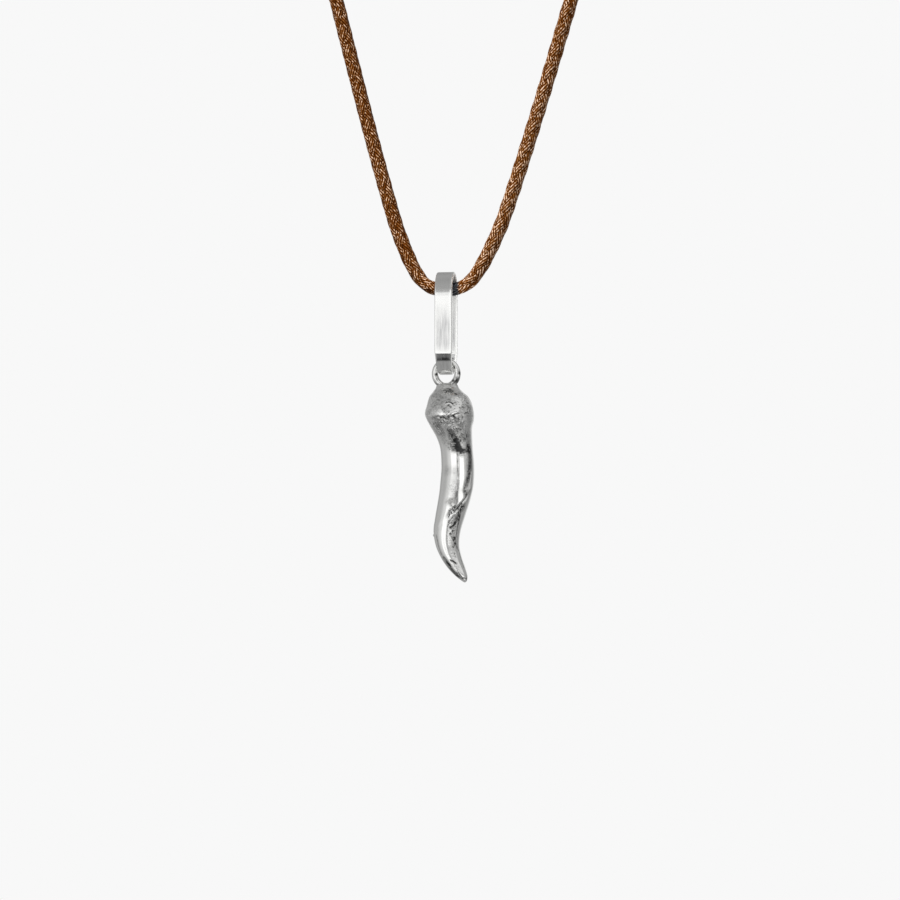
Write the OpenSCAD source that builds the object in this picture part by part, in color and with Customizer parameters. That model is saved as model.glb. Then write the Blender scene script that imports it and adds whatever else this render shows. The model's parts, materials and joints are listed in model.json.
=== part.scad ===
// Silver horn pendant on a long strip bail, hung on a braided waxed cord that goes round the neck.
// +X is to the right as the pendant is seen from the front, -Y is the front, +Z is up, in millimetres.
// The origin is where the clasp rests against the nape, and the pendant hangs below and in front of it.

/* [Cord] */
// Thickness of the round braided cord
cord_d = 2; // [1.6:0.1:2.2]
// How far the cord's lowest point lies in front of the nape
drop_forward = 115; // [100:1:130]
// How far the cord's lowest point lies below the nape
drop_down = 198; // [180:1:220]

/* [Clasp] */
// Diameter of the barrel clasp
clasp_d = 4; // [3:0.1:6]
// Thickness of the barrel where a cord end goes in
clasp_mouth_d = 3; // [2.6:0.1:3]
// Length of the bevel at each end of the barrel
clasp_bevel = 1; // [0.5:0.1:2]

/* [Bail] */
// Height of the bail's loop, over its outside
bail_l = 14.1; // [12:0.1:16]
// Width of the flat strip that the bail is bent from
strip_w = 2.4; // [2:0.1:3]
// Width of the strip where the horn's ring hooks through
foot_w = 1.8; // [1.4:0.05:1.9]
// Thickness of the strip
strip_t = 0.6; // [0.4:0.05:0.7]
// Depth of the loop from front to back, over its outside
bail_depth = 3.9; // [3.8:0.1:4.2]
// Height of the long oval bend at each end of the loop
bend_l = 3; // [2.5:0.05:3.2]
// How far the top of the bail stands above the middle of the cord
bail_rise = 2.2; // [2:0.05:2.4]

/* [Ring] */
// Outside diameter of the ring that is soldered to the horn
ring_d = 4.04; // [3.9:0.02:4.2]
// Thickness of the ring's wire
wire_d = 0.76; // [0.6:0.02:0.8]
// Length of the solder that joins the ring to the horn's head
solder_l = 2.9; // [2:0.1:3]
// Thickness of the solder from front to back
solder_w = 1.2; // [0.9:0.1:1.6]

/* [Horn] */
// Depth of the crease where the horn's twist folds over itself
crease_depth = 0.3; // [0:0.05:0.4]
// How far the rim of the head stands out over the front of the body
rim_height = 0.16; // [0:0.02:0.3]
// Corners round the horn's cross-section
horn_sides = 32; // [16:4:40]

/* [Hidden] */
round_fn = 64;

// Half of the cord's middle line, from its lowest point to the clasp: [right, back, up] from that point
CORD_ROUTE = [
    [0, 0, 0], [2.6, 0.2, 0.6], [4.5, 0.5, 2.5], [6.6, 1.2, 6.7], [8.5, 1.9, 12],
    [12.7, 3.3, 26], [20.6, 6.2, 54], [29.6, 11.4, 85], [38.6, 19.2, 116], [43.2, 24.8, 131.5],
    [47.8, 32, 146.5], [52.2, 41.2, 160.5], [55.8, 52, 172], [58, 64, 180.5], [57, 77, 187],
    [52.5, 90, 191.5], [44.5, 101, 195], [33.5, 109.5, 197], [20.5, 115, 198], [6, 117, 198]
];
cord_end = CORD_ROUTE[len(CORD_ROUTE) - 1];
cord_sides = 8;
rings_a_stretch = 2;
// A point inside the loop, which the cord's rings are turned towards
loop_middle = [0, 60, 100];

bail_foot_z = bail_rise - bail_l;
// The horn swings about the middle of the ring's wire, half the bail's depth above its foot
pivot_z = bail_foot_z + bail_depth / 2;
ring_r = (ring_d - wire_d) / 2;
solder_top_z = -3.1;
solder_foot_z = -4.6;

// Half of the strip's outline from the front: [half width, height above the bail's foot]
STRIP_OUTLINE = [
    [strip_w / 2, bail_l + 0.01], [strip_w / 2, 3.15], [strip_w / 2 - 0.12, 1.95],
    [(strip_w + foot_w) / 4 - 0.02, 0.75], [foot_w / 2, 0.25], [foot_w / 2 - 0.15, -0.01]
];

// The horn's cross-sections, from the top of its head to the tip, measured from the swing axis:
// [height, middle to the right, middle to the back, half width, half depth]
HORN_SECTIONS = [
    [-3.8, 0.2, 0, 1.65, 1.1], [-4.3, 0.22, 0, 2.1, 1.75], [-4.9, 0.35, 0, 2.65, 2.4],
    [-5.9, 0.48, 0, 3.05, 2.95],
    [-7.2, 0.47, -0.05, 3.35, 3.25], [-8.2, 0.62, -0.05, 3.18, 3.1], [-9.2, 0.79, -0.05, 2.8, 2.85],
    [-10.6, 1.17, -0.05, 2.43, 2.5], [-12.2, 1.5, -0.1, 2.24, 2.3], [-14.5, 1.66, -0.15, 2.25, 2.25],
    [-17, 1.52, -0.15, 2.3, 2.2], [-19.2, 1.14, -0.18, 2.2, 2.1], [-21.3, 0.61, -0.22, 2.05, 2.0],
    [-23.3, 0.22, -0.4, 1.87, 1.85], [-25.2, 0.32, -0.68, 1.63, 1.65], [-26.8, 0.89, -0.97, 1.44, 1.45],
    [-28.2, 1.66, -1.25, 1.24, 1.2], [-29.3, 2.43, -1.53, 0.88, 0.85], [-30, 2.9, -1.73, 0.42, 0.42],
    [-30.25, 3.03, -1.85, 0.1, 0.1]
];
rows_a_section = 3;

// The crease of the twist: [height, angle to the right of the front, share of the full depth]
CREASE = [
    [-16.5, 85, 0], [-17.8, 64, 0.5], [-18.8, 50, 1], [-20, 32, 1], [-21.2, 16, 1],
    [-23.3, 16, 0.6], [-25.2, 18, 0.5], [-27.5, 14, 0]
];
crease_half_angle = 24;
// The rim of the head: its height, half its thickness, and how far round from the front it shows
rim_z = -7.45;
rim_half_t = 0.5;
rim_half_angle = 110;

function unit(v) = v / norm(v);

// Rows of a table, smoothed: a curve that passes through every row, with steps points a stretch
function smooth_rows(rows, steps) =
    let (n = len(rows) - 1)
    concat(
        [for (i = [0:n - 1]) for (k = [0:steps - 1])
            let (
                t = k / steps, b = rows[i], c = rows[i + 1],
                a = i > 0 ? rows[i - 1] : 2 * b - c,
                d = i < n - 1 ? rows[i + 2] : 2 * c - b
            )
            b + t / 2 * (c - a) + t * t / 2 * (2 * a - 5 * b + 4 * c - d)
                + t * t * t / 2 * (3 * b - a - 3 * c + d)],
        [rows[n]]
    );

// Skins a list of rings of n points each, with a flat cap at both ends
module skin(rings, n) {
    last = len(rings) - 1;
    polyhedron(
        points = [for (ring = rings) for (p = ring) p],
        faces = concat(
            [[for (j = [0:n - 1]) j]],
            [for (i = [0:last - 1]) for (j = [0:n - 1])
                let (a = i * n + j, b = i * n + (j + 1) % n) each [[a, b + n, b], [a, a + n, b + n]]],
            [[for (j = [n - 1:-1:0]) last * n + j]]
        )
    );
}

// Moves a piece from the cord's lowest point to its place below the nape
module at_drop() { translate([0, -drop_forward, -drop_down]) children(); }

// The whole middle line, from the left end to the right one
cord_line = smooth_rows(
    concat(
        [for (i = [len(CORD_ROUTE) - 1:-1:1]) [-CORD_ROUTE[i].x, CORD_ROUTE[i].y, CORD_ROUTE[i].z]],
        CORD_ROUTE
    ),
    rings_a_stretch
);

// The cord's cross-section at point i of its line, square to the line and to the clasp's faces
function cord_ring(line, i) =
    let (
        n = len(line) - 1,
        ahead = i == 0 || i == n ? [-1, 0, 0] : unit(line[i + 1] - line[i - 1]),
        away = line[i] - loop_middle,
        out = unit(away - ahead * (away * ahead)),
        side = cross(ahead, out)
    )
    [for (j = [0:cord_sides - 1])
        let (a = 360 * j / cord_sides) line[i] + cord_d / 2 * (cos(a) * out + sin(a) * side)];

module cord() {
    color("saddlebrown")
    at_drop()
    skin([for (i = [0:len(cord_line) - 1]) cord_ring(cord_line, i)], cord_sides);
}

module clasp() {
    color("silver")
    at_drop()
    translate([-cord_end.x, cord_end.y, cord_end.z])
    rotate([0, 90, 0])
    rotate_extrude($fn = round_fn)
    polygon([
        [0, 0], [clasp_mouth_d / 2, 0], [clasp_d / 2, clasp_bevel],
        [clasp_d / 2, 2 * cord_end.x - clasp_bevel], [clasp_mouth_d / 2, 2 * cord_end.x], [0, 2 * cord_end.x]
    ]);
}

// The loop's side view, that much smaller all round than its outside: straight, with oval bends
module loop_side(inset) {
    half_depth = bail_depth / 2 - inset;
    for (z = [bail_foot_z + bend_l, bail_rise - bend_l])
        translate([0, z]) scale([half_depth, bend_l - inset]) circle(r = 1, $fn = round_fn);
    translate([-half_depth, bail_foot_z + bend_l]) square([2 * half_depth, bail_l - 2 * bend_l]);
}

module bail() {
    color("gainsboro")
    at_drop()
    intersection() {
        rotate([90, 0, 90])
        linear_extrude(2 * strip_w, center = true)
        difference() {
            loop_side(0);
            loop_side(strip_t);
        }
        translate([0, bail_depth, bail_foot_z])
        rotate([90, 0, 0])
        linear_extrude(2 * bail_depth)
        polygon(concat(
            STRIP_OUTLINE,
            [for (i = [len(STRIP_OUTLINE) - 1:-1:0]) [-STRIP_OUTLINE[i].x, STRIP_OUTLINE[i].y]]
        ));
    }
}

// 1 at the middle of a bump of that half width, falling smoothly to 0 at its edges
function bump(d, half) = abs(d) >= half ? 0 : (1 + cos(180 * d / half)) / 2;

// The crease's angle and share of depth at height z
function crease_at(z) = [
    lookup(z, [for (row = CREASE) [row[0], row[1]]]),
    lookup(z, [for (row = CREASE) [row[0], row[2]]])
];

// How far the horn's surface stands out at height z, a degrees to the right of the front
function relief(z, a) =
    let (crease = crease_at(z))
    rim_height * bump(z - rim_z, rim_half_t) * bump(a, rim_half_angle)
        - crease_depth * crease[1] * bump(a - crease[0] - crease_half_angle / 2, crease_half_angle);

// The horn's outline at one height: a is the angle to the right of the front
function horn_ring(row) = [for (j = [0:horn_sides - 1])
    let (a = 180 - 360 * j / horn_sides, out = relief(row[0], a))
    [row[1] + (row[3] + out) * sin(a), row[2] - (row[4] + out) * cos(a), row[0]]
];

// The ring, standing on the bar of solder that runs down into the head
module soldered_ring() {
    translate([0, 0, -ring_r])
        rotate([90, 0, 0])
        rotate_extrude($fn = round_fn)
        translate([ring_r, 0])
        circle(d = wire_d, $fn = round_fn);
    translate([0, 0, solder_foot_z])
        linear_extrude(solder_top_z - solder_foot_z) {
            for (side = [-1, 1])
                translate([side * (solder_l - solder_w) / 2, 0]) circle(d = solder_w, $fn = round_fn);
            square([solder_l - solder_w, solder_w], center = true);
        }
}

module horn() {
    color("darkgray")
    at_drop()
    translate([0, 0, pivot_z]) {
        soldered_ring();
        skin([for (row = smooth_rows(HORN_SECTIONS, rows_a_section)) horn_ring(row)], horn_sides);
    }
}

cord();
clasp();
bail();
horn();
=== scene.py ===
import json
import math

import bpy
import numpy as np
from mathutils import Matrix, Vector, noise


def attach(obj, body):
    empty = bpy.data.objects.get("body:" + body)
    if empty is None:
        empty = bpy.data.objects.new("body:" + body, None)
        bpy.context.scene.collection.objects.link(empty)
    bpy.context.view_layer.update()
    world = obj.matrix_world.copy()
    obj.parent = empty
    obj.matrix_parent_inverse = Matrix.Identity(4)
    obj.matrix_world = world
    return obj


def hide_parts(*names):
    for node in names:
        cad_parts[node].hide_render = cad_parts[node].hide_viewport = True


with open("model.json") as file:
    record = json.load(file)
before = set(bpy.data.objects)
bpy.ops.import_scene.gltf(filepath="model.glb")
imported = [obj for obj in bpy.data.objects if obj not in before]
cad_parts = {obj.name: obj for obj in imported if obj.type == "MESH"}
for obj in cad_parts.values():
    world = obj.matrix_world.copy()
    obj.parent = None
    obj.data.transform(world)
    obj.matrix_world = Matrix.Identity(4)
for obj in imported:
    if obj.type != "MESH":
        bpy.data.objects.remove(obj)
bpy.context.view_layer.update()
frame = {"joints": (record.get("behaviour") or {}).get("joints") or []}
scene = bpy.context.scene
MM = 0.001

# The view: straight at the hanging pendant, a little from its right, through a long lens.
# The nape is the origin. The bail swings on the cord's lowest point, below and in front of it.
swing_axes = {joint["name"]: np.array(joint["pos_m"]) for joint in frame["joints"]}
LOW_POINT = swing_axes["bail_swing"]
VIEW_TURN = math.radians(13)
# The middle of the view is this far above the lowest point and to its right, and the view this wide
VIEW_HEIGHT = -22.19 * MM
VIEW_SHIFT = 0.52 * MM
VIEW_WIDTH = 123.3 * MM
LENS = 100
SENSOR = 36
view_right = Vector((math.cos(VIEW_TURN), math.sin(VIEW_TURN), 0))
view_ahead = Vector((-math.sin(VIEW_TURN), math.cos(VIEW_TURN), 0))
camera = bpy.data.objects.new("camera", bpy.data.cameras.new("camera"))
scene.collection.objects.link(camera)
scene.camera = camera
camera.data.lens = LENS
camera.data.sensor_width = SENSOR
camera.data.clip_start = 10 * MM
looked_at = Vector(LOW_POINT) + Vector((0, 0, VIEW_HEIGHT)) + view_right * VIEW_SHIFT
camera.location = looked_at - view_ahead * VIEW_WIDTH * LENS / SENSOR
camera.rotation_euler = view_ahead.to_track_quat("-Z", "Y").to_euler()

# The cord: eight flat strands of waxed brown cotton, braided round to 2 mm.
# It runs from one end of the clasp round the neck, down through the bail and back up.
CORD_R = 1 * MM
CORD_LENGTH = 589 * MM
CORD_SIDES = 40
CORD_RINGS = 2400
CURVE_STEPS = 60
# Half of the cord's middle line in millimetres, from its lowest point: right, back, up
CORD_ROUTE = [
    (0, 0, 0), (2.6, 0.2, 0.6), (4.5, 0.5, 2.5), (6.6, 1.2, 6.7), (8.5, 1.9, 12),
    (12.7, 3.3, 26), (20.6, 6.2, 54), (29.6, 11.4, 85), (38.6, 19.2, 116), (43.2, 24.8, 131.5),
    (47.8, 32, 146.5), (52.2, 41.2, 160.5), (55.8, 52, 172), (58, 64, 180.5), (57, 77, 187),
    (52.5, 90, 191.5), (44.5, 101, 195), (33.5, 109.5, 197), (20.5, 115, 198), (6, 117, 198),
]
# Its braid: strands that slant each way, the length in which a strand goes once round, how far the
# strands bulge, how far they weave over and under, and the threads of each
STRANDS_A_SLANT = 4
BRAID_LEAD = 11.2 * MM
STRAND_CROWN = 0.12 * MM
STRAND_WEAVE = 0.07 * MM
THREADS_A_STRAND = 4
# Its tone is the sum of these, all painted light and shade: sheen on lit fibres, and painted highlights on
# the crowns of the threads and of the strands, with painted shade in the gaps between them
FIBRE_TONE = 0.65
THREAD_TONE = 0.22
STRAND_TONE = 0.14
# The noise of its fibres: lumps from one crossing to the next, how far apart in the noise the two
# slants are read, and the stretch of its values over which a fibre catches the light
FIBRE_LUMPS = 3.5
SLANTS_APART = 17
FIBRE_LIT = (0.44, 0.64)
# Its fine relief: how deep it is, and how much the crowns of the threads count in it beside the fibres
RELIEF_DEPTH = 0.09 * MM
THREAD_RELIEF = 0.6
# Colours of the cotton, from painted shade in its gaps to tan painted sheen, and of the painted shade where
# the bail covers it, by tone
COTTON = [
    (0.1, (0.01, 0.0015, 0.0001)), (0.31, (0.13, 0.032, 0.001)), (0.5, (0.3, 0.125, 0.03)),
    (0.92, (0.9, 0.64, 0.46)),
]
STAIN = [(0.1, (0.004, 0.004, 0.005)), (0.9, (0.09, 0.095, 0.105))]
# Where the bail covers the cord, it is painted black as painted shade: millimetres left and right of its
# lowest point
STAIN_ENDS = (-1.4, 2)
STAIN_FADE = 0.2
# The bail's weight presses it thinner there: in full up to the first of these distances from its
# lowest point, and not at all beyond the second, in millimetres
PRESSED_ENDS = (2, 5.5)
# How much lower its top and its underside lie for that, in millimetres
PRESSED_TOP = 0.38
PRESSED_FOOT = 0.14
# How much paler its threads are painted, as painted light from a fill on the right: millimetres along it to
# the right of its lowest point, and share
WORN = [(-8, 0), (-1, 0.4), (2, 1), (14, 1.1), (26, 1.2), (42, 0.65), (80, 0)]
WORN_TONE = 1.2


def smoothed(rows, steps):
    """A curve through all the rows, with that many points a stretch."""
    rows = np.array(rows, float)
    ends = np.vstack([2 * rows[0] - rows[1], rows, 2 * rows[-1] - rows[-2]])
    t = (np.arange(steps) / steps)[:, None]
    made = [
        b + t / 2 * (c - a) + t**2 / 2 * (2 * a - 5 * b + 4 * c - d) + t**3 / 2 * (3 * b - a - 3 * c + d)
        for a, b, c, d in zip(ends, ends[1:], ends[2:], ends[3:])
    ]
    return np.vstack(made + [rows[-1:]])


def evenly(line, count):
    """The line again, with that many points at even steps along it."""
    steps = np.linalg.norm(np.diff(line, axis=0), axis=1)
    along = np.concatenate([[0], np.cumsum(steps)])
    wanted = np.linspace(0, along[-1], count)
    return np.column_stack([np.interp(wanted, along, column) for column in line.T])


def carried_frames(line):
    """Two sideways directions at each point of a line, carried along it without a twist."""
    ahead = np.gradient(line, axis=0)
    ahead /= np.linalg.norm(ahead, axis=1)[:, None]
    out = np.tile([0.0, 0.0, 1.0], (len(line), 1))
    for i in range(1, len(line)):
        carried = out[i - 1] - ahead[i] * (out[i - 1] @ ahead[i])
        out[i] = carried / np.linalg.norm(carried)
    return out, np.cross(ahead, out)


def skinned(name, rings, closed=False):
    """A piece whose mesh runs round each ring of points, and from ring to ring or closed in a loop."""
    count, sides = rings.shape[:2]
    i = np.arange(count if closed else count - 1)[:, None] * sides
    j = np.arange(sides)[None, :]
    turned = (j + 1) % sides
    after = (i + sides) % (count * sides)
    faces = np.stack([i + j, i + turned, after + turned, after + j], axis=-1).reshape(-1, 4).tolist()
    if not closed:
        faces.append(list(range(sides - 1, -1, -1)))
        faces.append(list(range((count - 1) * sides, count * sides)))
    mesh = bpy.data.meshes.new(name)
    mesh.from_pydata(rings.reshape(-1, 3), [], faces)
    mesh.shade_smooth()
    piece = bpy.data.objects.new(name, mesh)
    scene.collection.objects.link(piece)
    return piece


def node(tree, kind, inputs=(), **settings):
    """Adds a shader node, sets it, and links or sets its inputs by name or number."""
    made = tree.nodes.new(kind)
    for key, value in settings.items():
        setattr(made, key, value)
    for key, value in dict(inputs).items():
        if isinstance(value, bpy.types.NodeSocket):
            tree.links.new(value, made.inputs[key])
        else:
            made.inputs[key].default_value = value
    return made


def maths(tree, operation, *values):
    """The result of one sum on sockets and numbers."""
    return node(tree, "ShaderNodeMath", enumerate(values), operation=operation).outputs[0]


def blended(tree, share, first, second):
    """A number between two others."""
    return maths(tree, "ADD", first, maths(tree, "MULTIPLY", share, maths(tree, "SUBTRACT", second, first)))


def graded(tree, value, stops):
    """Colours by a value: each stop is its place from 0 to 1 and a colour."""
    made = node(tree, "ShaderNodeValToRGB", {"Fac": value})
    ramp = made.color_ramp
    while len(ramp.elements) < len(stops):
        ramp.elements.new(1)
    for element, (place, colour) in zip(ramp.elements, stops):
        element.position = place
        element.color = (*colour, 1)
    return made.outputs["Color"]


def new_finish(name):
    """An empty material, its node tree and its Principled shader."""
    material = bpy.data.materials.new(name)
    material.use_nodes = True
    return material, material.node_tree, material.node_tree.nodes["Principled BSDF"]


def paint(piece, name, values):
    """Keeps one number a vertex, which the piece's finish reads by that name."""
    layer = piece.data.attributes.new(name, "FLOAT", "POINT")
    layer.data.foreach_set("value", np.asarray(values, np.float32).ravel())


def painted(tree, name):
    """The numbers that were painted on by that name."""
    return node(tree, "ShaderNodeAttribute", attribute_name=name).outputs["Fac"]


def strand_height(across, along):
    """How far one slant's strands stand out: crowned across, and over and under along."""
    crown = np.sqrt(np.abs(np.sin(math.pi * across)))
    weave = np.sign(np.sin(math.pi * across)) * np.sin(math.pi * along)
    return STRAND_CROWN * crown + STRAND_WEAVE * weave


half_route = np.array(CORD_ROUTE) * MM
whole_route = np.vstack([half_route[:0:-1] * (-1, 1, 1), half_route]) + LOW_POINT
cord_line = evenly(smoothed(whole_route, CURVE_STEPS), CORD_RINGS)
cord_out, cord_side = carried_frames(cord_line)
# The braid is laid out flat: strands across and crossings along
flat_round = np.arange(CORD_SIDES)[None, :] / CORD_SIDES * STRANDS_A_SLANT
flat_along = np.linspace(0, CORD_LENGTH, CORD_RINGS)[:, None] / BRAID_LEAD * STRANDS_A_SLANT
rising = flat_round + flat_along
falling = flat_round - flat_along
braid = np.maximum(strand_height(rising, falling), strand_height(falling, -rising))
cord_r = (CORD_R - STRAND_CROWN - STRAND_WEAVE / 2 + braid)[:, :, None]
turn = np.arange(CORD_SIDES)[None, :, None] / CORD_SIDES * 2 * math.pi
spokes = np.cos(turn) * cord_out[:, None, :] + np.sin(turn) * cord_side[:, None, :]
cord_points = cord_line[:, None, :] + cord_r * spokes
to_right = (cord_points[:, :, 0] - LOW_POINT[0]) / MM
pressed = (1 - np.cos(np.interp(np.abs(to_right), PRESSED_ENDS, (math.pi, 0)))) / 2
top_share = (1 + spokes[:, :, 2]) / 2
cord_points[:, :, 2] -= pressed * (PRESSED_FOOT + (PRESSED_TOP - PRESSED_FOOT) * top_share) * MM
cord = skinned("braided_cord", cord_points)
along_cord = np.linspace(-0.5, 0.5, CORD_RINGS) * CORD_LENGTH / MM
# Painted light: paler threads from its lowest point up the right strand
worn = np.interp(along_cord, *np.array(WORN).T)
paint(cord, "worn", np.broadcast_to(worn[:, None], (CORD_RINGS, CORD_SIDES)))
# Painted shade: the cord is painted dark where it passes inside the bail
in_bail = np.minimum(to_right - STAIN_ENDS[0], STAIN_ENDS[1] - to_right)
paint(cord, "stain", np.clip(in_bail / STAIN_FADE, 0, 1))

# The last face of each ring ends at a whole turn, so the layout is kept corner by corner
corner_round = np.arange(CORD_SIDES)[:, None] + np.array([[0, 1, 1, 0]])
corner_along = np.arange(CORD_RINGS - 1)[:, None, None] + np.array([[[0, 0, 1, 1]]])
layout = np.zeros((len(cord.data.loops), 2), np.float32)
side_corners = (CORD_RINGS - 1) * CORD_SIDES * 4
layout[:side_corners, 0] = np.broadcast_to(
    corner_round[None] / CORD_SIDES * STRANDS_A_SLANT, (CORD_RINGS - 1, CORD_SIDES, 4)
).ravel()
layout[:side_corners, 1] = np.broadcast_to(
    corner_along * flat_along[1, 0], (CORD_RINGS - 1, CORD_SIDES, 4)
).ravel()
cord.data.uv_layers.new(name="braid").data.foreach_set("uv", layout.ravel())

waxed_cotton, tree, shader = new_finish("waxed_cotton")
flat = node(tree, "ShaderNodeUVMap", uv_map="braid").outputs["UV"]
flat = node(tree, "ShaderNodeSeparateXYZ", {"Vector": flat}).outputs
up = maths(tree, "ADD", flat["X"], flat["Y"])
down = maths(tree, "SUBTRACT", flat["X"], flat["Y"])
crossing = maths(
    tree, "MULTIPLY", *(maths(tree, "SINE", maths(tree, "MULTIPLY", way, math.pi)) for way in (up, down))
)
up_is_over = maths(tree, "GREATER_THAN", crossing, 0)
across = blended(tree, up_is_over, down, up)
along = blended(tree, up_is_over, up, down)
threads = maths(tree, "MULTIPLY", across, THREADS_A_STRAND)
thread_crown = maths(tree, "ABSOLUTE", maths(tree, "SINE", maths(tree, "MULTIPLY", threads, math.pi)))
strand_crown = maths(tree, "ABSOLUTE", maths(tree, "SINE", maths(tree, "MULTIPLY", across, math.pi)))
lumps_along = maths(tree, "MULTIPLY", along, FIBRE_LUMPS)
apart = maths(tree, "MULTIPLY", up_is_over, SLANTS_APART)
lay = node(tree, "ShaderNodeCombineXYZ", {"X": threads, "Y": lumps_along, "Z": apart}).outputs[0]
fibres = node(tree, "ShaderNodeTexNoise", {"Vector": lay, "Scale": 1.1, "Detail": 2}).outputs["Fac"]
ends = {"Value": fibres, "From Min": FIBRE_LIT[0], "From Max": FIBRE_LIT[1]}
lit = node(tree, "ShaderNodeMapRange", ends).outputs[0]
# Painted light: lit fibres on the thread crowns give painted sheen, and crowns are painted lighter than the
# gaps
lit_thread = maths(tree, "MULTIPLY", maths(tree, "POWER", thread_crown, 3), lit)
tone = maths(tree, "MULTIPLY", thread_crown, THREAD_TONE)
tone = maths(tree, "MULTIPLY_ADD", lit_thread, FIBRE_TONE, tone)
tone = maths(tree, "MULTIPLY_ADD", strand_crown, STRAND_TONE, tone)
# Painted light from the right makes the threads paler there
tone = maths(tree, "MULTIPLY", tone, blended(tree, painted(tree, "worn"), 1, WORN_TONE))
# Inputs 6 and 7 and output 2 of a mix are its colours: the cotton's, and the painted shade inside the bail
colours = {0: painted(tree, "stain"), 6: graded(tree, tone, COTTON), 7: graded(tree, tone, STAIN)}
stained = node(tree, "ShaderNodeMix", colours, data_type="RGBA").outputs[2]
tree.links.new(stained, shader.inputs["Base Color"])
shader.inputs["Roughness"].default_value = 0.55
shader.inputs["Specular IOR Level"].default_value = 0.05
relief = maths(tree, "MULTIPLY_ADD", thread_crown, THREAD_RELIEF, fibres)
relief = node(tree, "ShaderNodeBump", {"Height": relief, "Strength": 0.8, "Distance": RELIEF_DEPTH})
tree.links.new(relief.outputs["Normal"], shader.inputs["Normal"])
cord.data.materials.append(waxed_cotton)
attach(cord, "root")
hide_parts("cord")

# The clasp: a plain silver barrel, turned, with a mouth at each end that the cord is glued into.
# A fine groove runs round it where its two halves screw together.
# How far its middle lies behind the nape
CLASP_BACK = 2 * MM
CLASP_SIDES = 64
SILVER = (0.9, 0.9, 0.885, 1)
# Along half of the barrel from its middle, and its radius there, in millimetres
CLASP_PROFILE = [
    (0, 1.86), (0.1, 1.86), (0.16, 1.97), (0.3, 2), (4.6, 2), (4.9, 1.96), (5.5, 1.7), (5.82, 1.56),
    (5.95, 1.46), (6, 1.3), (5.98, 1.08),
]
profile = np.array([(-x, r) for x, r in CLASP_PROFILE[:0:-1]] + CLASP_PROFILE) * MM
turn = np.arange(CLASP_SIDES) / CLASP_SIDES * 2 * math.pi
barrel_rings = np.stack(
    [
        np.broadcast_to(profile[:, :1], (len(profile), CLASP_SIDES)),
        CLASP_BACK + profile[:, 1:] * np.cos(turn),
        profile[:, 1:] * np.sin(turn),
    ],
    axis=-1,
)
barrel = skinned("barrel_clasp", barrel_rings)


def drawn_noise(tree, fineness, **inputs):
    """Noise through the piece that has that many lumps a metre along each axis."""
    place = node(tree, "ShaderNodeTexCoord").outputs["Object"]
    drawn_out = node(tree, "ShaderNodeMapping", {"Vector": place, "Scale": fineness}).outputs[0]
    return node(tree, "ShaderNodeTexNoise", {"Vector": drawn_out, "Scale": 1, **inputs}).outputs["Fac"]


def silver_finish(name, roughness, fineness, depth):
    """Silver with fine scratches of that depth, whose roughness wanders by half either way."""
    material, tree, shader = new_finish(name)
    shader.inputs["Metallic"].default_value = 1
    shader.inputs["Base Color"].default_value = SILVER
    scratches = drawn_noise(tree, fineness, Detail=4, Roughness=0.6)
    wandering = blended(tree, scratches, roughness * 0.5, roughness * 1.5)
    tree.links.new(wandering, shader.inputs["Roughness"])
    scratched = node(tree, "ShaderNodeBump", {"Height": scratches, "Strength": 0.5, "Distance": depth})
    tree.links.new(scratched.outputs["Normal"], shader.inputs["Normal"])
    return material, tree, shader, scratched.outputs["Normal"]


turned_silver = silver_finish("turned_silver", 0.22, (9000, 700, 700), 0.006 * MM)[0]
barrel.data.materials.append(turned_silver)
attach(barrel, "root")
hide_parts("clasp")

# The bail: a flat strip of silver bent to a long loop, closed behind, with its edges rubbed round.
# It narrows at its foot, where the ring hooks through, and is polished along its length.
# The horn swings on its foot, about the middle of the ring's wire.
PIVOT = swing_axes["horn_swing"]
# Heights of the loop's outside from that axis
BAIL_FOOT = -1.95 * MM
BAIL_TOP = 12.15 * MM
BAIL_DEPTH = 3.9 * MM
BEND_LENGTH = 3 * MM
STRIP_T = 0.6 * MM
STRIP_EDGE_R = 0.14 * MM
STRIP_RINGS = 360
BEND_STEPS = 180
EDGE_STEPS = 5
FACE_STEPS = 12
# Height above that axis, and half the strip's width there, in millimetres
STRIP_HALF_W = [
    (-1.95, 0.68), (-1.8, 0.83), (-1.6, 0.93), (-1.2, 1.03), (0, 1.08), (1.2, 1.2), (14, 1.2),
]
# How grey the front is painted, by height above that axis, and share: painted reflections of dark cards,
# such as the dark band across its foot, with brushed streaks in them
BRUSHED = [
    (-2, 0.6), (-1.3, 0.4), (-0.6, 0.6), (0.08, 0.4), (0.12, 3), (0.3, 2.4), (0.5, 1.4), (0.75, 1.2),
    (0.87, 2), (0.94, 0), (1.5, 0.6), (2.2, 1), (5, 1), (6.5, 0.6), (7.8, 0.15), (8.7, 0.1), (8.9, 0.4),
    (9.3, 0.5), (9.45, 0), (10.2, 0), (10.8, 0.3), (11.3, 0.05), (11.7, 0.35), (12.1, 0),
]
# Where the painted grey ends beside the strip's edges, and how soon, as shares of its half width
BRUSHED_SIDE = 0.95
BRUSHED_FADE = 0.15
# Lumps of its scratches and of its brushed streaks, a metre: across, through and along it
SCRATCHES = (5200, 1500, 260)
STREAKS = (3600, 1200, 420)
# How dark the brushed streaks are where it is painted grey: share of their noise, and level
STREAK_SHARE = 0.8
STREAK_LEVEL = -0.05
# Colours of the silver by its painted grey
BRUSHED_SILVER = [(0, SILVER[:3]), (0.5, (0.5, 0.5, 0.5)), (1, (0.1, 0.1, 0.1))]
# Its inside is left frosted white by the pickle, and isn't polished
STRIP_ROUGHNESS = 0.15
FROSTED_ROUGHNESS = 0.6
FROSTED_METALLIC = 0.3
# The pliers have left a short flat at the front of its foot, between these degrees of the bend
FOOT_FLAT = (159.3, 177.8)

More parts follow.
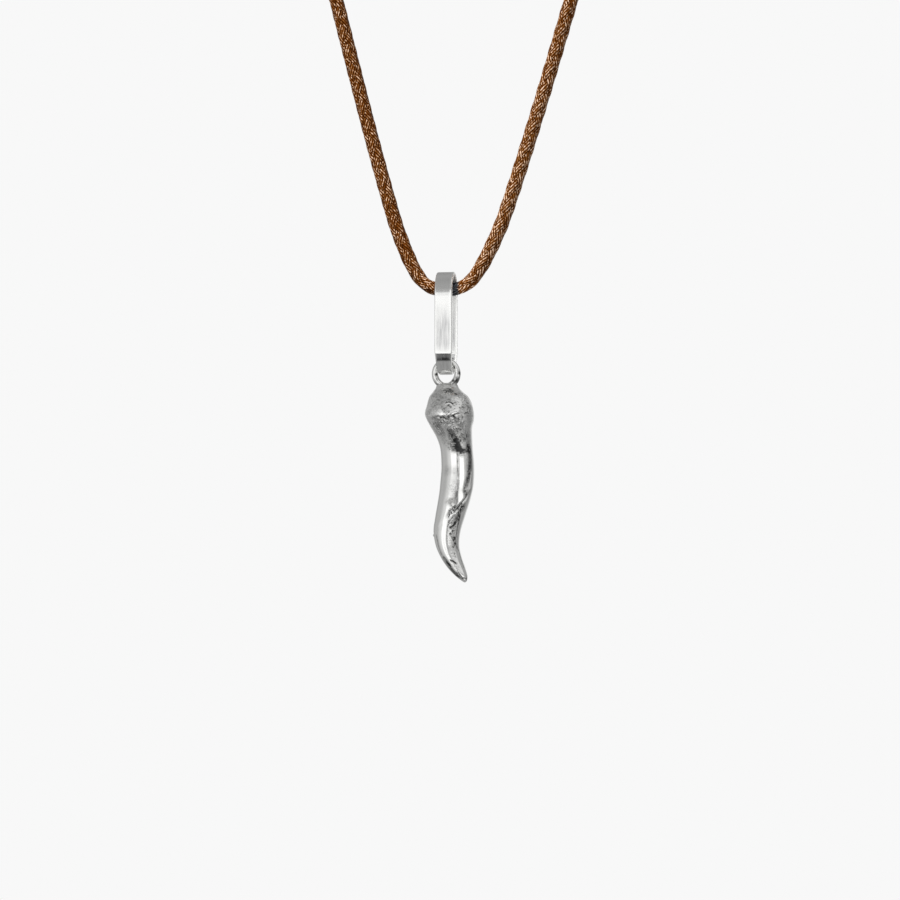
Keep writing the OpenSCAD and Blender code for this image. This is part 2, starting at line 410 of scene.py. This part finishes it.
bend = np.linspace(0, math.pi, BEND_STEPS + 1)[:, None]
bend_size = np.array([BAIL_DEPTH - STRIP_T, 2 * BEND_LENGTH - STRIP_T]) / 2
top_bend = np.hstack([-np.cos(bend), np.sin(bend)]) * bend_size + (0, BAIL_TOP - BEND_LENGTH)
off_flat = (np.degrees(bend) < FOOT_FLAT[0]) | (np.degrees(bend) > FOOT_FLAT[1])
foot_turn = bend[off_flat][:, None]
foot_bend = np.hstack([np.cos(foot_turn), -np.sin(foot_turn)]) * bend_size + (0, BAIL_FOOT + BEND_LENGTH)
strip_line = evenly(np.vstack([top_bend, foot_bend, top_bend[:1]]), STRIP_RINGS + 1)[:-1]
strip_ahead = np.roll(strip_line, -1, axis=0) - np.roll(strip_line, 1, axis=0)
strip_ahead /= np.linalg.norm(strip_ahead, axis=1)[:, None]
strip_out = np.column_stack([-strip_ahead[:, 1], strip_ahead[:, 0]])
half_w = np.interp(strip_line[:, 1] / MM, *np.array(STRIP_HALF_W).T) * MM

# The strip's cross-section goes over its four rounded corners and two faces: across, and outwards
section = []
for corner, (across_sign, out_sign) in enumerate([(1, 1), (-1, 1), (-1, -1), (1, -1)]):
    for step in range(EDGE_STEPS + 1):
        a = (corner + step / EDGE_STEPS) * math.pi / 2
        section.append((across_sign, out_sign, math.cos(a), math.sin(a)))
    for step in range(1, FACE_STEPS if corner % 2 == 0 else 1):
        section.append((across_sign * (1 - 2 * step / FACE_STEPS), out_sign, 0, out_sign))
section = np.array(section)
across_strip = section[None, :, 0] * (half_w[:, None] - STRIP_EDGE_R) + section[None, :, 2] * STRIP_EDGE_R
out_of_strip = section[None, :, 1] * (STRIP_T / 2 - STRIP_EDGE_R) + section[None, :, 3] * STRIP_EDGE_R
strip_rings = np.stack(
    [
        across_strip + PIVOT[0],
        strip_line[:, :1] + out_of_strip * strip_out[:, :1] + PIVOT[1],
        strip_line[:, 1:] + out_of_strip * strip_out[:, 1:] + PIVOT[2],
    ],
    axis=-1,
)
bail = skinned("strip_bail", strip_rings, closed=True)
# Painted reflections: grey bands across the strip, by height
brushed = np.interp(strip_line[:, 1] / MM, *np.array(BRUSHED).T)[:, None]
brushed = brushed * np.clip((BRUSHED_SIDE - np.abs(section[None, :, 0])) / BRUSHED_FADE, 0, 1)
paint(bail, "brushed", brushed)
paint(bail, "inside", np.broadcast_to(section[None, :, 1] < 0, brushed.shape))
polished_strip, tree, shader, _ = silver_finish("polished_strip", STRIP_ROUGHNESS, SCRATCHES, 0.005 * MM)
streaks = drawn_noise(tree, STREAKS, Detail=3)
streaks = maths(tree, "MULTIPLY_ADD", streaks, STREAK_SHARE, STREAK_LEVEL)
darkened = maths(tree, "MULTIPLY", painted(tree, "brushed"), streaks)
tree.links.new(graded(tree, darkened, BRUSHED_SILVER), shader.inputs["Base Color"])
inside = painted(tree, "inside")
tree.links.new(blended(tree, inside, STRIP_ROUGHNESS, FROSTED_ROUGHNESS), shader.inputs["Roughness"])
tree.links.new(blended(tree, inside, 1, FROSTED_METALLIC), shader.inputs["Metallic"])
bail.data.materials.append(polished_strip)
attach(bail, "bail")
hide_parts("bail")

# The horn: cast silver, solid, curved and twisted, with a fold where the twist laps over itself.
# Its body is polished by wear, and its head and hollows keep the casting's pits and tarnish. A dark band
# down its right side and one across its tip are painted dark reflections.
HORN_RINGS = 430
HORN_SIDES = 220
SECTION_STEPS = 40
# From the solder at its top to its tip, in millimetres from the swing axis:
# height, middle to the right, middle to the back, half width, half depth
HORN_SECTIONS = [
    (-3.05, 0.1, 0, 1.15, 0.3), (-3.25, 0.12, 0, 1.42, 0.62), (-3.5, 0.15, 0, 1.52, 0.85),
    (-3.8, 0.17, 0, 1.66, 1.15), (-4.3, 0.22, 0, 2.08, 1.75), (-4.9, 0.35, 0, 2.65, 2.4),
    (-5.9, 0.48, 0, 3.05, 2.95), (-7.2, 0.47, -0.05, 3.35, 3.25), (-8.2, 0.62, -0.05, 3.18, 3.1),
    (-9.2, 0.79, -0.05, 2.8, 2.85), (-10.6, 1.17, -0.05, 2.43, 2.5), (-12.2, 1.5, -0.1, 2.24, 2.3),
    (-14.5, 1.66, -0.15, 2.25, 2.25), (-17, 1.52, -0.15, 2.3, 2.2), (-19.2, 1.14, -0.18, 2.2, 2.1),
    (-21.3, 0.61, -0.22, 2.05, 2.0), (-23.3, 0.22, -0.4, 1.87, 1.85), (-25.2, 0.32, -0.68, 1.63, 1.65),
    (-26.8, 0.89, -0.97, 1.44, 1.45), (-28.2, 1.66, -1.25, 1.24, 1.2), (-29.3, 2.43, -1.53, 0.88, 0.85),
    (-30, 2.9, -1.73, 0.42, 0.42), (-30.25, 3.03, -1.85, 0.1, 0.1), (-30.27, 3.04, -1.86, 0.03, 0.03),
]
# Where the twist laps over itself: height, degrees to the right of the front, lift, and how dark the line
# below it is
FOLD = [
    (-16.6, 76, 0, 0), (-17.5, 68, 0.6, 0.5), (-18.5, 56, 0.9, 1), (-19.4, 40, 1, 1), (-20.3, 27, 0.9, 0.8),
    (-20.6, 18, 0.3, 0.3), (-20.65, 10, 0.08, 0), (-21.4, -3, 0.08, 0), (-22.3, -18, 0.13, 0),
    (-22.85, -32, 0.14, 0), (-22.55, -57, 0.06, 0), (-22.2, -70, 0, 0),
]
# Its lip and the groove below it: how high or deep at full lift, and how wide
FOLD_LIP = (0.15, 0.8)
FOLD_GROOVE = (0.2, 0.4)
# How soon the lip drops into the groove: at full lift, and how much slower at none
FOLD_DROP = 0.08
FOLD_DROP_SLOWER = 0.45
# Its dark line: how far below the fold, and how wide
FOLD_DARK = (0.1, 0.13)
# In the tables below, tarnish under 0 is silver that is worn bright.
# Small dents (below 0) and nubs: height, degrees, radius, rise, tarnish
DOTS = [
    (-3.6, 22, 0.22, 0.05, -0.5), (-3.5, -22, 0.22, 0.05, -0.3), (-4.7, -8, 0.25, 0.05, -0.4),
    (-4.6, 36, 0.25, -0.06, 0.5), (-5.0, -26, 0.2, -0.05, 0.4), (-5.4, -18, 0.2, -0.05, 0.4),
    (-5.95, 11, 0.36, 0.1, -1), (-7.05, -11, 0.5, -0.035, -1.3), (-7.35, -6, 0.42, -0.03, -1.2),
    (-7.68, -16, 0.2, -0.08, 0.8), (-7.82, -10, 0.24, -0.1, 1), (-7.75, -3, 0.22, -0.1, 1),
    (-7.99, 1, 0.32, -0.16, 1.4), (-7.82, 9, 0.22, -0.1, 1), (-7.7, 15, 0.22, -0.08, 0.8),
    (-7.98, 15, 0.18, 0.08, -0.5), (-7.72, 21, 0.24, -0.1, 1), (-8.37, -8, 0.14, 0.06, -0.6),
    (-20.29, 5, 0.25, 0.05, -0.6), (-20.05, 20, 0.26, -0.12, 1.1), (-20.45, 17, 0.24, -0.1, 1),
    (-20.77, 27, 0.24, -0.1, 0.9), (-22.25, 40, 0.34, -0.12, 1.3), (-22.6, 35, 0.26, -0.1, 1.1),
    (-22.82, 25, 0.28, -0.1, 1.1), (-23.3, 38, 0.22, -0.08, 0.9), (-23.7, 28, 0.22, -0.08, 0.7),
    (-24.35, 50, 0.38, -0.14, 1.5), (-24.35, 48, 0.14, 0.1, -2), (-25, 56, 0.34, -0.1, 1.1),
    (-25.4, 44, 0.22, -0.08, 0.8), (-23.92, -75, 0.25, 0.1, 0), (-26.25, 25, 0.22, 0.06, -0.6),
    (-26.66, 33, 0.28, 0.08, -0.8), (-26.3, 42, 0.2, -0.08, 0.8), (-27.3, 5, 0.22, -0.05, 0.8),
    (-27.41, 15, 0.26, -0.08, 1.1), (-27.62, 24, 0.28, -0.1, 1.2), (-28.85, 9, 0.36, 0.05, 0.35),
]
# Tarnished and rough areas: height, degrees, half height, half width, tarnish, roughness
PATCHES = [
    (-3.6, 0, 0.5, 1.7, -0.45, 0.3), (-4.2, 12, 0.4, 0.6, 0.3, 0.9), (-5.2, 48, 1.1, 0.9, -0.15, 0.5),
    (-6.6, 9, 0.8, 0.9, 0.1, 1), (-6.3, 26, 1.1, 1, 0.05, 1), (-6.2, 60, 1.1, 1, 0.1, 1),
    (-8.15, -20, 0.5, 1.1, 0.18, 0.9), (-8.3, 15, 0.5, 1.6, 0, 0.9), (-9.1, 22, 1.1, 2, 0.02, 0.8),
    (-8.1, 38, 0.8, 1, 0.18, 0.7), (-9.2, 33, 1.1, 0.9, 0.2, 0.6), (-9.6, -30, 1.1, 0.8, 0.03, 0.9),
    (-9.74, 5, 0.5, 0.5, 0.5, 0.8), (-10.5, 11, 0.6, 0.65, 0.9, 0.8), (-11.1, 17, 0.65, 0.7, 1.1, 0.8),
    (-11.75, 20, 0.6, 0.6, 1, 0.8), (-12.3, 26, 0.45, 0.55, 0.85, 0.8), (-12.3, 42, 0.45, 0.8, 0.75, 0.8),
    (-12.2, 60, 0.6, 0.6, 0.7, 0.8), (-10.6, 34, 1.2, 0.8, 0.5, 0.8), (-10.4, 55, 1.6, 1.2, 0.33, 0.8),
    (-14.3, 47, 2, 0.4, 0.25, 0.6), (-6.4, -62, 1.3, 0.8, -0.3, 0), (-12, 23, 0.7, 0.5, 0.8, 0.8),
    (-12.7, 30, 0.5, 0.6, 0.6, 0.7), (-11.7, -4, 1, 0.8, 0.38, 1), (-12.1, 10, 0.6, 0.7, 0.6, 1),
    (-11.3, -25, 1, 0.7, 0.08, 0.7), (-15.1, -27, 0.9, 0.9, 0.2, 0.4), (-17.2, -30, 1.6, 0.6, 0.07, 0.4),
    (-17.3, -8, 1.5, 0.9, 0, 0.6), (-15.2, 2, 1, 0.6, 0.1, 0.3), (-19.25, 2, 0.65, 0.9, 0.5, 0.5),
    (-20, 54, 0.8, 0.45, 0.9, 0.8), (-20.5, 41, 0.9, 0.4, 0.7, 0.8), (-21.5, 45, 0.9, 0.45, 0.75, 0.9),
    (-22.4, 34, 1.4, 0.75, 0.33, 1), (-24, 40, 1.4, 0.75, 0.33, 1), (-25.4, 44, 1.1, 0.65, 0.22, 1),
    (-26.5, 30, 0.8, 0.6, 0, 0.9), (-28, 15, 0.8, 0.6, -0.1, 0.9), (-21.3, 12, 0.8, 0.6, -0.6, 0.2),
]
# Their tarnish and their roughness fade to nothing at this many times those sizes
PATCH_TARNISH_REACH = 1.3
PATCH_ROUGH_REACH = 1.5
# Grooves (below 0) and ridges drawn through points: half width, rise, darkness (tarnish, and painted dark
# reflection in the rows marked so), then height and degrees
LINES = [
    (0.13, -0.05, 0.5, [(-4.1, -10), (-3.88, 0), (-3.8, 12), (-3.95, 25), (-4.25, 33)]),
    (0.1, -0.04, 0.4, [(-4.4, 2), (-4.18, 9), (-4.2, 18), (-4.45, 25)]),
    (0.1, 0.05, -0.5, [(-4.3, -50), (-4.7, -52), (-5.2, -58)]),
    (0.14, 0.06, -1, [(-5.4, -64), (-6.4, -61), (-7.2, -56)]),
    (0.1, 0.05, -0.5, [(-4.5, 70), (-4.9, 60), (-5.42, 56)]),
    (0.1, 0.05, -0.5, [(-5.2, 75), (-5.6, 77), (-6.1, 76)]),
    (0.1, -0.05, 0.6, [(-4.9, 66), (-5.7, 67), (-6.5, 65), (-7.1, 60)]),
    (0.12, -0.07, 1, [(-5.84, 1), (-5.68, 6), (-5.68, 13), (-5.95, 21)]),
    (0.12, 0.05, -1.3, [(-5.95, 4), (-5.89, 10), (-5.98, 16)]),
    (0.1, -0.05, 0.7, [(-6.15, 6), (-6.2, 11), (-6.35, 17)]),
    (0.34, 0.015, -2.2, [(-7.34, 14), (-7.12, 22), (-6.9, 31)]),
    (0.12, -0.08, 1, [(-7.62, 18), (-7.35, 27), (-7.24, 35)]),
    (0.1, -0.05, 0.6, [(-7.3, 50), (-7.15, 58), (-7.3, 66)]),
    (0.1, -0.05, 0.7, [(-8.37, -14), (-8.6, -12), (-8.75, -6), (-8.5, -2), (-8.2, -5)]),
    (0.09, 0.06, -0.5, [(-8.99, 6), (-8.8, 14), (-8.66, 21)]),
    (0.09, -0.05, 0.6, [(-9.1, 8), (-8.9, 16), (-8.72, 24)]),
    (0.09, 0.06, -0.5, [(-9.15, 11), (-8.9, 21), (-8.62, 29)]),
    (0.1, 0.05, -0.4, [(-8.6, -46), (-9.4, -40), (-10.1, -32)]),
    (0.12, -0.06, 0.5, [(-8.5, -31), (-9.1, -28), (-9.7, -22)]),
    (0.1, -0.05, 0.7, [(-9.6, 2), (-10.2, 3), (-10.9, 8), (-11.4, 11)]),
    # Painted dark reflection: a broad dark band down the right side, over a shallow groove
    (0.6, -0.03, 0.9, [
        (-11.7, 61), (-12.6, 67), (-13.64, 64), (-14.74, 60), (-15.84, 54), (-16.93, 46), (-17.75, 44),
        (-18.2, 50),
    ]),
    (0.09, 0.05, -0.5, [(-15.2, 68), (-16.6, 64), (-17.75, 60), (-18.4, 56)]),
    (0.1, 0.04, -0.5, [(-12.86, 20), (-12.82, 34), (-12.75, 48)]),
    (0.14, -0.05, 0.9, [(-12.9, 15), (-13.9, 13), (-15, 13), (-16.4, 15), (-17.6, 17)]),
    (0.1, -0.03, 0.3, [(-20.45, 8), (-20.95, 12), (-21.5, 9)]),
    (0.18, 0.05, -1.4, [(-20.62, 35), (-21.05, 22), (-21.7, 14)]),
    (0.14, 0.04, -1.2, [(-20.5, 13), (-21.05, 22)]),
    (0.16, -0.04, 0.8, [(-19.6, 46), (-20.8, 50), (-22, 56), (-23.4, 60), (-24.6, 62), (-25.6, 66)]),
    (0.1, -0.04, 0.8, [(-25.8, 70), (-26.1, 75), (-27.21, 76), (-28.2, 72)]),
    (0.25, -0.02, 0.4, [(-23.9, -40), (-24.6, -36), (-25.6, -36), (-26.5, -37)]),
    # Painted dark reflections: the dark band across the lower left of the tip
    (0.4, -0.03, 0.8, [(-27, -31), (-27.3, -27), (-27.9, -24)]),
    (0.45, -0.03, 0.5, [(-27.9, -24), (-28.6, -26), (-29.2, -24)]),
    (0.25, -0.03, 0.5, [(-29.3, -28), (-29.67, 6), (-29.72, 40), (-29.67, 60)]),
]
# The head is rougher than the body: height where it ends, how soon it ends, and by how much
HEAD_FOOT = -9.5
HEAD_FADE = 1.2
HEAD_ROUGH = 0.4
# The solder at the top has no relief: height where relief begins, and how soon it is full
RELIEF_TOP = -3.2
RELIEF_FADE = 0.4
# Sizes of the cast surface's fine grain, lumps and waves, in millimetres
GRAIN_SIZE = 0.22
LUMP_SIZE = 0.8
WAVE_SIZE = 2.4
# How far they rise, in millimetres: grain and lumps where the silver is rough, pitted or on the head
ROUGH_GRAIN = 0.01
PITTED_GRAIN = 0.035
HEAD_LUMPS = 0.02
PITTED_LUMPS = 0.02
WAVES = 0.03
# Pits open where the grain is over this level, this deep for each unit that it is over
PIT_LEVEL = 0.25
PIT_DEPTH = 0.12
# How the darkening of the tables, tarnish and painted dark reflections, and the tarnish of the head are
# broken up: level, share of grain, share of lumps
TARNISH_SPECKLE = (0.9, 0.7, 0.4)
HEAD_TARNISH = (0.14, 0.3, 0.25)
# Tarnish in the pits begins where the grain is over this level, and grows by this much a unit
PIT_TARNISH_LEVEL = 0.22
PIT_TARNISH = 1.3
# Colours of the silver by its darkening, tarnish and painted dark reflections, and its roughness where it
# is polished and where it is rough
TARNISHED = [(0, SILVER[:3]), (0.45, (0.42, 0.42, 0.41)), (1, (0.05, 0.05, 0.05))]
POLISHED_ROUGHNESS = 0.17
CAST_ROUGHNESS = 0.36


def bump(distance, half):
    """1 in the middle of a bump of that half width, falling smoothly to 0 at its edge."""
    return np.where(np.abs(distance) < half, (1 + np.cos(math.pi * distance / half)) / 2, 0)


def hill(distance, width):
    """1 in the middle of a hill, falling smoothly to about a third at that width and on to 0."""
    return np.exp(-((distance / width) ** 2))


def stepped(distance, width):
    """0 well below a step and 1 well above it, with most of the rise inside that width."""
    return (1 + np.tanh(distance / width)) / 2


def wrapped(degrees):
    """The same angle, from -180 to 180."""
    return (degrees + 180) % 360 - 180


def to_line(across, height, points):
    """Each place's distance to a drawn line, above 0 on its upper side, and the share along it."""
    best = np.full(across.shape, 1e9)
    signed = np.zeros(across.shape)
    share = np.zeros(across.shape)
    for i, (a, b) in enumerate(zip(points, points[1:])):
        step = b - a
        t = np.clip(((across - a[0]) * step[0] + (height - a[1]) * step[1]) / (step @ step), 0, 1)
        gap_x = across - a[0] - t * step[0]
        gap_z = height - a[1] - t * step[1]
        gap = np.hypot(gap_x, gap_z)
        nearer = gap < best
        best = np.where(nearer, gap, best)
        signed = np.where(nearer, gap * -np.sign(step[0] * gap_z - step[1] * gap_x), signed)
        share = np.where(nearer, i + t, share)
    return best, signed, share


rows = evenly(smoothed(HORN_SECTIONS, SECTION_STEPS), HORN_RINGS)
height, mid_x, mid_y, half_x, half_y = (rows[:, i, None] for i in range(5))
turn = np.arange(HORN_SIDES)[None, :] / HORN_SIDES * 2 * math.pi
height = np.broadcast_to(height, (HORN_RINGS, HORN_SIDES))
degrees = wrapped(np.degrees(np.broadcast_to(turn, height.shape)))
horn_points = np.stack([mid_x + half_x * np.sin(turn), mid_y - half_y * np.cos(turn), height], axis=-1)
round_step = np.roll(horn_points, -1, axis=1) - np.roll(horn_points, 1, axis=1)
normals = np.cross(np.gradient(horn_points, axis=0), round_step)
normals /= np.linalg.norm(normals, axis=2)[:, :, None]
normals *= -np.sign(normals[HORN_RINGS // 2, 0, 1])
# Places are measured over the surface: millimetres across from the front, and height
mean_r = (half_x + half_y) / 2
across = np.radians(degrees) * mean_r


def drawn(points):
    """A line's points of height and degrees, as places over the surface."""
    return np.array([(math.radians(d) * np.interp(-z, -rows[:, 0], mean_r[:, 0]), z) for z, d in points])


rise = np.zeros(height.shape)
tarnish = np.zeros(height.shape)
rough = np.zeros(height.shape)

_, over_fold, share = to_line(across, height, drawn([(z, d) for z, d, _, _ in FOLD]))
fold_lift = np.interp(share, range(len(FOLD)), [lift for _, _, lift, _ in FOLD])
fold_dark = np.interp(share, range(len(FOLD)), [dark for _, _, _, dark in FOLD])
lip = stepped(over_fold, FOLD_DROP + FOLD_DROP_SLOWER * (1 - fold_lift))
rise += fold_lift * FOLD_LIP[0] * lip * hill(np.maximum(over_fold, 0), FOLD_LIP[1])
rise -= fold_lift * FOLD_GROOVE[0] * (1 - lip) * hill(over_fold, FOLD_GROOVE[1])
tarnish += fold_dark * hill(over_fold + FOLD_DARK[0], FOLD_DARK[1])

for z, d, radius, out, dark in DOTS:
    gap = np.hypot(np.radians(wrapped(degrees - d)) * mean_r, height - z)
    rise += out * bump(gap, radius)
    tarnish += dark * bump(gap, radius)
for half, out, dark, points in LINES:
    gap, _, _ = to_line(across, height, drawn(points))
    rise += out * bump(gap, half)
    tarnish += dark * bump(gap, half)
for z, d, half_z, half_across, dark, coarse in PATCHES:
    gap = np.hypot(np.radians(wrapped(degrees - d)) * mean_r / half_across, (height - z) / half_z)
    tarnish += dark * bump(gap, PATCH_TARNISH_REACH)
    rough = np.maximum(rough, coarse * bump(gap, PATCH_ROUGH_REACH))


def noise_over(points, size, shift, detail=2):
    """Smooth noise at the shifted points, with lumps of about that size in millimetres."""
    places = (points + shift).reshape(-1, 3) / size
    values = [noise.fractal(Vector(place), 1, 2, detail, noise_basis="PERLIN_ORIGINAL") for place in places]
    return np.array(values).reshape(points.shape[:2])


def speckled(level, grain_share, lump_share):
    """That level, broken up by shares of the grain and of the lumps."""
    return level + grain_share * grain + lump_share * lumps


grain = noise_over(horn_points, GRAIN_SIZE, shift=0)
lumps = noise_over(horn_points, LUMP_SIZE, shift=50)
waves = noise_over(horn_points, WAVE_SIZE, shift=90, detail=1)
head = stepped(height - HEAD_FOOT, HEAD_FADE)
rough = np.clip(rough + HEAD_ROUGH * head, 0, 1) * (1 + np.clip(tarnish, -1, 0))
pitted = np.clip(rough * 2 - 1, 0, 1)
rise += (ROUGH_GRAIN * rough + PITTED_GRAIN * pitted) * grain
rise += (HEAD_LUMPS * head + PITTED_LUMPS * pitted) * lumps + WAVES * waves
rise -= PIT_DEPTH * pitted * np.clip(grain - PIT_LEVEL, 0, 1)
rise *= np.clip((RELIEF_TOP - height) / RELIEF_FADE, 0, 1)
tarnish = tarnish * speckled(*TARNISH_SPECKLE) + head * speckled(*HEAD_TARNISH)
tarnish += PIT_TARNISH * pitted * np.clip(grain - PIT_TARNISH_LEVEL, 0, 1)
horn_points = (horn_points + normals * rise[:, :, None]) * MM + PIVOT
horn = skinned("cast_horn", horn_points)
# Tarnish, with the painted dark reflections
paint(horn, "tarnish", np.clip(tarnish, 0, 1))
paint(horn, "rough", rough)
cast_silver, tree, shader, scratched = silver_finish("cast_silver", 0.14, (2500, 2500, 900), 0.008 * MM)
tree.links.new(graded(tree, painted(tree, "tarnish"), TARNISHED), shader.inputs["Base Color"])
roughness = blended(tree, painted(tree, "rough"), POLISHED_ROUGHNESS, CAST_ROUGHNESS)
tree.links.new(roughness, shader.inputs["Roughness"])
cast_grain = drawn_noise(tree, (4200, 4200, 4200), Detail=3)
cast_grain = maths(tree, "MULTIPLY", cast_grain, painted(tree, "rough"))
grainy = {"Height": cast_grain, "Strength": 0.6, "Distance": 0.06 * MM, "Normal": scratched}
tree.links.new(node(tree, "ShaderNodeBump", grainy).outputs["Normal"], shader.inputs["Normal"])
horn.data.materials.append(cast_silver)
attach(horn, "horn")
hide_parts("horn")

# The ring: round silver wire, closed through the bail's foot and soldered to the horn's head.
# The solder has run up both of its sides, so its wire is thickest low on its sides.
# The wire's middle line is a slightly tall oval below the swing axis.
RING_HALF_WIDTH = 1.59 * MM
RING_HALF_HEIGHT = 1.73 * MM
RING_STEPS = 160
WIRE_SIDES = 40
# Half the wire's thickness, by degrees from the top of the ring
WIRE_HALF_T = [(0, 0.37), (50, 0.37), (85, 0.42), (115, 0.46), (140, 0.46), (180, 0.37)]
# Dark spots, painted reflections along the polished round wire: degrees from the top, place across the wire
# from inside to outside, half size, darkness
RING_SPOTS = [
    (59, -0.5, 0.3, 1), (90, 0.7, 0.35, 1), (131, -0.3, 0.4, 1), (112, 0.4, 0.5, 0.7),
    (125, 0.7, 0.4, 0.8), (264, -0.6, 0.35, 1), (238, -0.4, 0.4, 0.35), (150, 0.2, 0.5, 0.5),
]
# Their sizes are millimetres on a ring and a wire with these middle radii
SPOT_RING_R = 1.66
SPOT_WIRE_R = 0.42
# They are painted on the wire's front half, and this share of its half thickness behind it
SPOT_BACK = 0.3

ring_turn = np.arange(RING_STEPS) / RING_STEPS * 360
wire_r = np.interp(np.abs(wrapped(ring_turn)), *np.array(WIRE_HALF_T).T)[:, None] * MM
wire_turn = np.arange(WIRE_SIDES)[None, :] / WIRE_SIDES * 2 * math.pi
a = np.radians(ring_turn)[:, None]
ring_rings = np.stack(
    [
        (RING_HALF_WIDTH + wire_r * np.cos(wire_turn)) * np.sin(a),
        -wire_r * np.sin(wire_turn) * np.ones_like(a),
        (RING_HALF_HEIGHT + wire_r * np.cos(wire_turn)) * np.cos(a) - RING_HALF_HEIGHT,
    ],
    axis=-1,
)
ring = skinned("soldered_ring", ring_rings + PIVOT, closed=True)
across_wire = np.cos(wire_turn) * np.ones_like(a)
in_front = -np.sin(wire_turn) < SPOT_BACK
ring_tarnish = np.zeros(across_wire.shape)
# Painted dark reflections on the front of the wire
for d, place, half, dark in RING_SPOTS:
    round_ring = np.radians(wrapped(ring_turn[:, None] - d)) * SPOT_RING_R
    gap = np.hypot(round_ring, (across_wire - place) * SPOT_WIRE_R)
    ring_tarnish += dark * bump(gap, half) * in_front
paint(ring, "tarnish", np.clip(ring_tarnish, 0, 1))
ring_silver, tree, shader, _ = silver_finish("ring_silver", 0.2, (2500, 2500, 2500), 0.02 * MM)
tree.links.new(graded(tree, painted(tree, "tarnish"), TARNISHED), shader.inputs["Base Color"])
ring.data.materials.append(ring_silver)
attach(ring, "horn")
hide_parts("horn")

# The studio: a plain pale floor and backdrop, and soft boxes round the pendant.
# Between the boxes hang grey and black cards, which give polished silver its dark lines.
PALE = 0.9387
# Height and half width of the floor, in metres
FLOOR_HEIGHT = -0.3
HALF_FLOOR = 3
# A soft key light from the upper left, which shows on the cord and not as a spot in the silver
KEY_LIGHT = 3.65
KEY_SOFTNESS = math.radians(25)
KEY_FROM = view_right * -0.45 - view_ahead * 0.38 + Vector((0, 0, 0.8))
# A narrow soft spot from the right, which reaches in between the bail's strips below the cord:
# how far away it is, and how far below the cord it aims
SPOT_LIGHT = 0.125
SPOT_WIDTH = math.radians(14)
SPOT_FROM = view_right * 0.6 - view_ahead * 0.8
SPOT_DISTANCE = 60 * MM
SPOT_DROP = 6 * MM
# Each card or box: degrees to the right of the view, half width, height, half height, softness, light
CARDS = [
    (0, 180, 0, 90, 1, 0.36),
    (172, 30, 0, 30, 10, 0.75),
    (-95, 40, -34, 14, 6, 0.12),
    (-88, 42, 0, 24, 12, 0.455),
    (10, 50, -16, 10, 3, 0.05),
    (90, 32, -2, 16, 8, 0.24),
    (60, 18, -1, 14, 8, 0.6),
    (34, 40, 42, 18, 8, 0.8),
    (-50, 24, 4, 14, 16, 0.75),
    (-27, 20, 4, 10, 3, 1.25),
    (28, 18, -1, 12, 3, 1.25),
    (-29, 6, 25, 19, 2, 0.36),
]
corners = [(x * HALF_FLOOR, y * HALF_FLOOR, FLOOR_HEIGHT) for x, y in ((-1, -1), (1, -1), (1, 1), (-1, 1))]
floor_mesh = bpy.data.meshes.new("floor")
floor_mesh.from_pydata(corners, [], [(0, 1, 2, 3)])
floor = bpy.data.objects.new("floor", floor_mesh)
scene.collection.objects.link(floor)
pale_floor, tree, shader = new_finish("pale_floor")
shader.inputs["Base Color"].default_value = (0, 0, 0, 1)
shader.inputs["Specular IOR Level"].default_value = 0
shader.inputs["Emission Color"].default_value = (1, 1, 1, 1)
shader.inputs["Emission Strength"].default_value = PALE
floor_mesh.materials.append(pale_floor)
floor.visible_diffuse = False
floor.visible_glossy = False
floor.visible_shadow = False

world = bpy.data.worlds.new("studio")
world.use_nodes = True
scene.world = world
tree = world.node_tree
ray = node(tree, "ShaderNodeTexCoord").outputs["Generated"]
ray = node(tree, "ShaderNodeSeparateXYZ", {"Vector": ray}).outputs
aside = maths(tree, "ARCTAN2", ray["X"], maths(tree, "MULTIPLY", ray["Y"], -1))
aside = maths(tree, "MULTIPLY", aside, math.degrees(1))
raised = maths(tree, "MULTIPLY", maths(tree, "ARCSINE", ray["Z"]), math.degrees(1))


def within(tree, distance, half, soft):
    """1 inside that half width, falling smoothly to 0 outside it."""
    ends = {"Value": distance, "From Min": half + soft, "From Max": half - soft}
    return node(tree, "ShaderNodeMapRange", ends, interpolation_type="SMOOTHSTEP").outputs[0]


light = 0.0
for right, half_right, up_to, half_up, soft, strength in CARDS:
    offset = maths(tree, "SUBTRACT", aside, right + math.degrees(VIEW_TURN))
    offset = maths(tree, "ABSOLUTE", maths(tree, "WRAP", offset, 180, -180))
    level = maths(tree, "ABSOLUTE", maths(tree, "SUBTRACT", raised, up_to))
    across_card = within(tree, offset, half_right, soft)
    card = maths(tree, "MULTIPLY", across_card, within(tree, level, half_up, soft))
    light = blended(tree, card, light, strength)
seen = node(tree, "ShaderNodeLightPath").outputs["Is Camera Ray"]
tree.links.new(blended(tree, seen, light, PALE), tree.nodes["Background"].inputs["Strength"])
tree.nodes["Background"].inputs["Color"].default_value = (1, 1, 1, 1)


def lamp(name, kind, strength, from_side):
    """A lamp that shines from that side, and that the silver doesn't mirror."""
    made = bpy.data.objects.new(name, bpy.data.lights.new(name, kind))
    scene.collection.objects.link(made)
    made.data.energy = strength
    made.rotation_euler = from_side.to_track_quat("Z", "Y").to_euler()
    made.visible_glossy = False
    return made


key = lamp("key", "SUN", KEY_LIGHT, KEY_FROM)
key.data.angle = KEY_SOFTNESS
spot = lamp("bail_spot", "SPOT", SPOT_LIGHT, SPOT_FROM)
spot.data.shadow_soft_size = 2 * MM
spot.data.spot_size = SPOT_WIDTH
spot.data.spot_blend = 0.4
spot.location = Vector(LOW_POINT) - Vector((0, 0, SPOT_DROP)) + SPOT_FROM * SPOT_DISTANCE
scene.view_settings.view_transform = "Standard"
